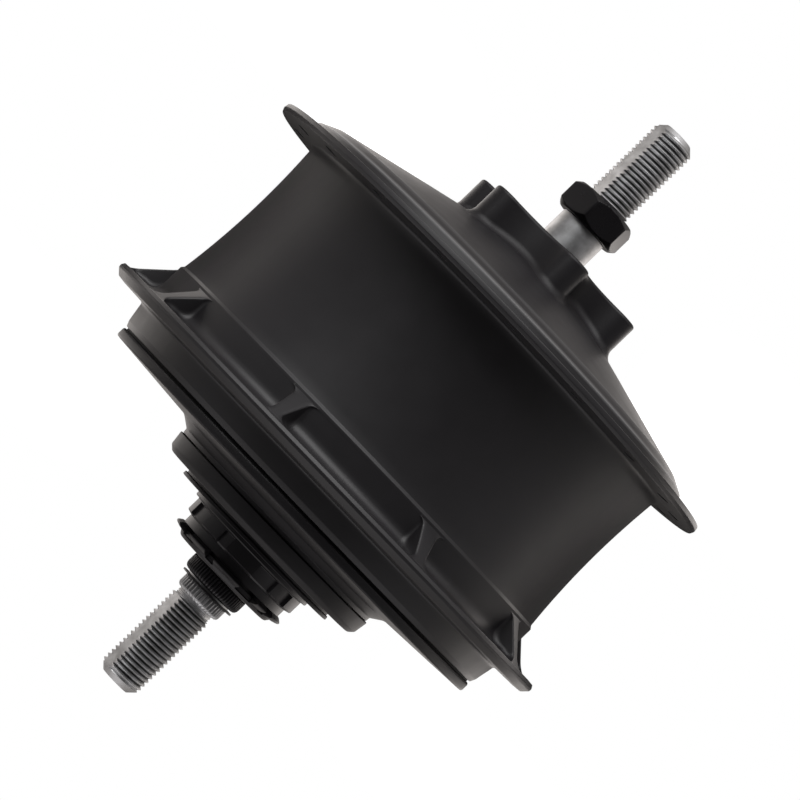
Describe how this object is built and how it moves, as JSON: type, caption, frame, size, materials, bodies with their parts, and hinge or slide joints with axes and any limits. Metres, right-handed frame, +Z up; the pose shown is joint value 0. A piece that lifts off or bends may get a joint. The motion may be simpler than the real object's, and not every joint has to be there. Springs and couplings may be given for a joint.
{
  "type": "bicycle hub gear",
  "caption": "Bicycle rear hub gear with a spoked-flange shell, disc brake mount, sprocket driver, shift sleeve and internal rolling-ball transmission on a flatted axle.",
  "frame": {"origin": "on the axle's centre line, midway between the two faces that clamp against the frame's dropouts", "axes": "+Y along the axle towards the brake rotor side (the bicycle's left), +Z up, -Z down, drive side towards -Y"},
  "size_m": [0.1396, 0.1858, 0.1396],
  "materials": {
    "shell_black": "satin black anodised or powder-coated aluminium",
    "cover_black": "matt black coated pressed steel",
    "driver_black": "black oxide steel, satin",
    "nut_black": "glossy black oxide steel",
    "axle_steel": "machined grey steel",
    "bearing_steel": "ground and polished bearing steel",
    "traction_steel": "ground hardened steel",
    "carrier_steel": "machined steel",
    "cage": "moulded nylon cage",
    "seal_rubber": "black nitrile rubber"
  },
  "bodies": {
    "axle": {"main_axle": "axle_steel", "axle_snap_ring": "driver_black", "brake_locknut": "nut_black", "brake_spacer": "axle_steel", "fixed_carrier": "carrier_steel", "carrier_key": "carrier_steel", "brake_bearing_inner_race": "bearing_steel", "sun_bearing_inner_races": "bearing_steel"},
    "shift": {"shift_sleeve": "driver_black", "shift_carrier": "carrier_steel", "driver_bearing_inner_races": "bearing_steel", "input_bearing_inner_race": "bearing_steel"},
    "shell": {"hub_shell": "shell_black", "end_cap": "shell_black", "end_cap_oring": "seal_rubber", "brake_bearing_outer_race": "bearing_steel", "brake_seal": "seal_rubber", "end_cap_bearing_outer_race": "bearing_steel", "driver_seal": "seal_rubber", "output_cam_ring": "carrier_steel", "output_cam_balls": "bearing_steel", "output_traction_ring": "traction_steel", "thrust_race_outer": "bearing_steel"},
    "driver": {"driver_body": "driver_black", "driver_front_seal": "seal_rubber", "dust_cover": "cover_black", "sprocket_backing_plate": "cover_black", "driver_bearing_outer_races": "bearing_steel", "end_cap_bearing_inner_race": "bearing_steel", "clutch_rollers": "bearing_steel", "clutch_cage": "cage"},
    "input": {"input_cam_disc": "carrier_steel", "input_cam_balls": "bearing_steel", "input_traction_ring": "traction_steel", "thrust_race_inner": "bearing_steel", "input_bearing_outer_race": "bearing_steel"},
    "brake_ball_set": {"brake_bearing_balls": "bearing_steel", "brake_bearing_cage": "cage"},
    "end_cap_ball_set": {"end_cap_bearing_balls": "bearing_steel", "end_cap_bearing_cage": "cage"},
    "thrust_ball_set": {"thrust_balls": "bearing_steel", "thrust_cage": "cage"},
    "driver_ball_set": {"driver_bearing_balls": "bearing_steel"},
    "input_ball_set": {"input_bearing_balls": "bearing_steel"},
    "sun_ball_set": {"sun_bearing_balls": "bearing_steel"},
    "sun": {"sun_roller": "traction_steel"},
    "planet_axle_1": {"planet_axle_1": "traction_steel"},
    "planet_1": {"planet_ball_1": "bearing_steel"},
    "planet_axle_2": {"planet_axle_2": "traction_steel"},
    "planet_2": {"planet_ball_2": "bearing_steel"},
    "planet_axle_3": {"planet_axle_3": "traction_steel"},
    "planet_3": {"planet_ball_3": "bearing_steel"},
    "planet_axle_4": {"planet_axle_4": "traction_steel"},
    "planet_4": {"planet_ball_4": "bearing_steel"},
    "planet_axle_5": {"planet_axle_5": "traction_steel"},
    "planet_5": {"planet_ball_5": "bearing_steel"},
    "planet_axle_6": {"planet_axle_6": "traction_steel"},
    "planet_6": {"planet_ball_6": "bearing_steel"}
  },
  "joints": [
    {"name": "shell_spin", "type": "hinge", "parent": "axle", "child": "shell", "pos_m": [0, 0, 0], "axis": [0, 1, 0], "continuous": true},
    {"name": "driver_spin", "type": "hinge", "parent": "axle", "child": "driver", "pos_m": [0, -0.05, 0], "axis": [0, 1, 0], "continuous": true},
    {"name": "shift_turn", "type": "hinge", "parent": "axle", "child": "shift", "pos_m": [0, -0.04, 0], "axis": [0, 1, 0], "range_deg": [-15.33, 14.33]},
    {"name": "input_spin", "type": "hinge", "parent": "axle", "child": "input", "pos_m": [0, -0.024, 0], "axis": [0, 1, 0], "continuous": true},
    {"name": "brake_balls_orbit", "type": "hinge", "parent": "axle", "child": "brake_ball_set", "pos_m": [0, 0.046, 0], "axis": [0, 1, 0], "continuous": true},
    {"name": "end_cap_balls_orbit", "type": "hinge", "parent": "axle", "child": "end_cap_ball_set", "pos_m": [0, -0.0383, 0], "axis": [0, 1, 0], "continuous": true},
    {"name": "thrust_balls_orbit", "type": "hinge", "parent": "axle", "child": "thrust_ball_set", "pos_m": [0, -0.0297, 0], "axis": [0, 1, 0], "continuous": true},
    {"name": "input_balls_orbit", "type": "hinge", "parent": "axle", "child": "input_ball_set", "pos_m": [0, -0.0247, 0], "axis": [0, 1, 0], "continuous": true},
    {"name": "sun_spin", "type": "hinge", "parent": "axle", "child": "sun", "pos_m": [0, 0, 0], "axis": [0, 1, 0], "continuous": true},
    {"name": "sun_balls_orbit", "type": "hinge", "parent": "axle", "child": "sun_ball_set", "pos_m": [0, 0, 0], "axis": [0, 1, 0], "continuous": true},
    {"name": "driver_balls_orbit", "type": "hinge", "parent": "axle", "child": "driver_ball_set", "pos_m": [0, -0.0462, 0], "axis": [0, 1, 0], "continuous": true},
    {"name": "planet_1_tilt", "type": "hinge", "parent": "axle", "child": "planet_axle_1", "pos_m": [0, 0, 0.0355], "axis": [1, 0, 0], "range_deg": [-18.4, 17.2]},
    {"name": "planet_1_spin", "type": "hinge", "parent": "planet_axle_1", "child": "planet_1", "pos_m": [0, 0, 0.0355], "axis": [0, 1, 0], "continuous": true},
    {"name": "planet_2_tilt", "type": "hinge", "parent": "axle", "child": "planet_axle_2", "pos_m": [0.03074, 0, 0.01775], "axis": [0.5, 0, -0.866], "range_deg": [-18.4, 17.2]},
    {"name": "planet_2_spin", "type": "hinge", "parent": "planet_axle_2", "child": "planet_2", "pos_m": [0.03074, 0, 0.01775], "axis": [0, 1, 0], "continuous": true},
    {"name": "planet_3_tilt", "type": "hinge", "parent": "axle", "child": "planet_axle_3", "pos_m": [0.03074, 0, -0.01775], "axis": [-0.5, 0, -0.866], "range_deg": [-18.4, 17.2]},
    {"name": "planet_3_spin", "type": "hinge", "parent": "planet_axle_3", "child": "planet_3", "pos_m": [0.03074, 0, -0.01775], "axis": [0, 1, 0], "continuous": true},
    {"name": "planet_4_tilt", "type": "hinge", "parent": "axle", "child": "planet_axle_4", "pos_m": [0, 0, -0.0355], "axis": [-1, 0, 0], "range_deg": [-18.4, 17.2]},
    {"name": "planet_4_spin", "type": "hinge", "parent": "planet_axle_4", "child": "planet_4", "pos_m": [0, 0, -0.0355], "axis": [0, 1, 0], "continuous": true},
    {"name": "planet_5_tilt", "type": "hinge", "parent": "axle", "child": "planet_axle_5", "pos_m": [-0.03074, 0, -0.01775], "axis": [-0.5, 0, 0.866], "range_deg": [-18.4, 17.2]},
    {"name": "planet_5_spin", "type": "hinge", "parent": "planet_axle_5", "child": "planet_5", "pos_m": [-0.03074, 0, -0.01775], "axis": [0, 1, 0], "continuous": true},
    {"name": "planet_6_tilt", "type": "hinge", "parent": "axle", "child": "planet_axle_6", "pos_m": [-0.03074, 0, 0.01775], "axis": [0.5, 0, 0.866], "range_deg": [-18.4, 17.2]},
    {"name": "planet_6_spin", "type": "hinge", "parent": "planet_axle_6", "child": "planet_6", "pos_m": [-0.03074, 0, 0.01775], "axis": [0, 1, 0], "continuous": true}
  ],
  "couplings": [
    {"joint": "input_spin", "follows": "shell_spin", "ratio": 1},
    {"joint": "brake_balls_orbit", "follows": "shell_spin", "ratio": 0.619},
    {"joint": "end_cap_balls_orbit", "follows": "shell_spin", "ratio": 0.5488},
    {"joint": "thrust_balls_orbit", "follows": "shell_spin", "ratio": 1},
    {"joint": "input_balls_orbit", "follows": "shell_spin", "ratio": 0.5651},
    {"joint": "sun_spin", "follows": "shell_spin", "ratio": -3.5108},
    {"joint": "sun_balls_orbit", "follows": "shell_spin", "ratio": -2.0254},
    {"joint": "driver_balls_orbit", "follows": "driver_spin", "ratio": 0.5651},
    {"joint": "planet_1_tilt", "follows": "shift_turn", "ratio": 1.2},
    {"joint": "planet_1_spin", "follows": "shell_spin", "ratio": 4.0427},
    {"joint": "planet_2_tilt", "follows": "shift_turn", "ratio": 1.2},
    {"joint": "planet_2_spin", "follows": "shell_spin", "ratio": 4.0427},
    {"joint": "planet_3_tilt", "follows": "shift_turn", "ratio": 1.2},
    {"joint": "planet_3_spin", "follows": "shell_spin", "ratio": 4.0427},
    {"joint": "planet_4_tilt", "follows": "shift_turn", "ratio": 1.2},
    {"joint": "planet_4_spin", "follows": "shell_spin", "ratio": 4.0427},
    {"joint": "planet_5_tilt", "follows": "shift_turn", "ratio": 1.2},
    {"joint": "planet_5_spin", "follows": "shell_spin", "ratio": 4.0427},
    {"joint": "planet_6_tilt", "follows": "shift_turn", "ratio": 1.2},
    {"joint": "planet_6_spin", "follows": "shell_spin", "ratio": 4.0427}
  ]
}
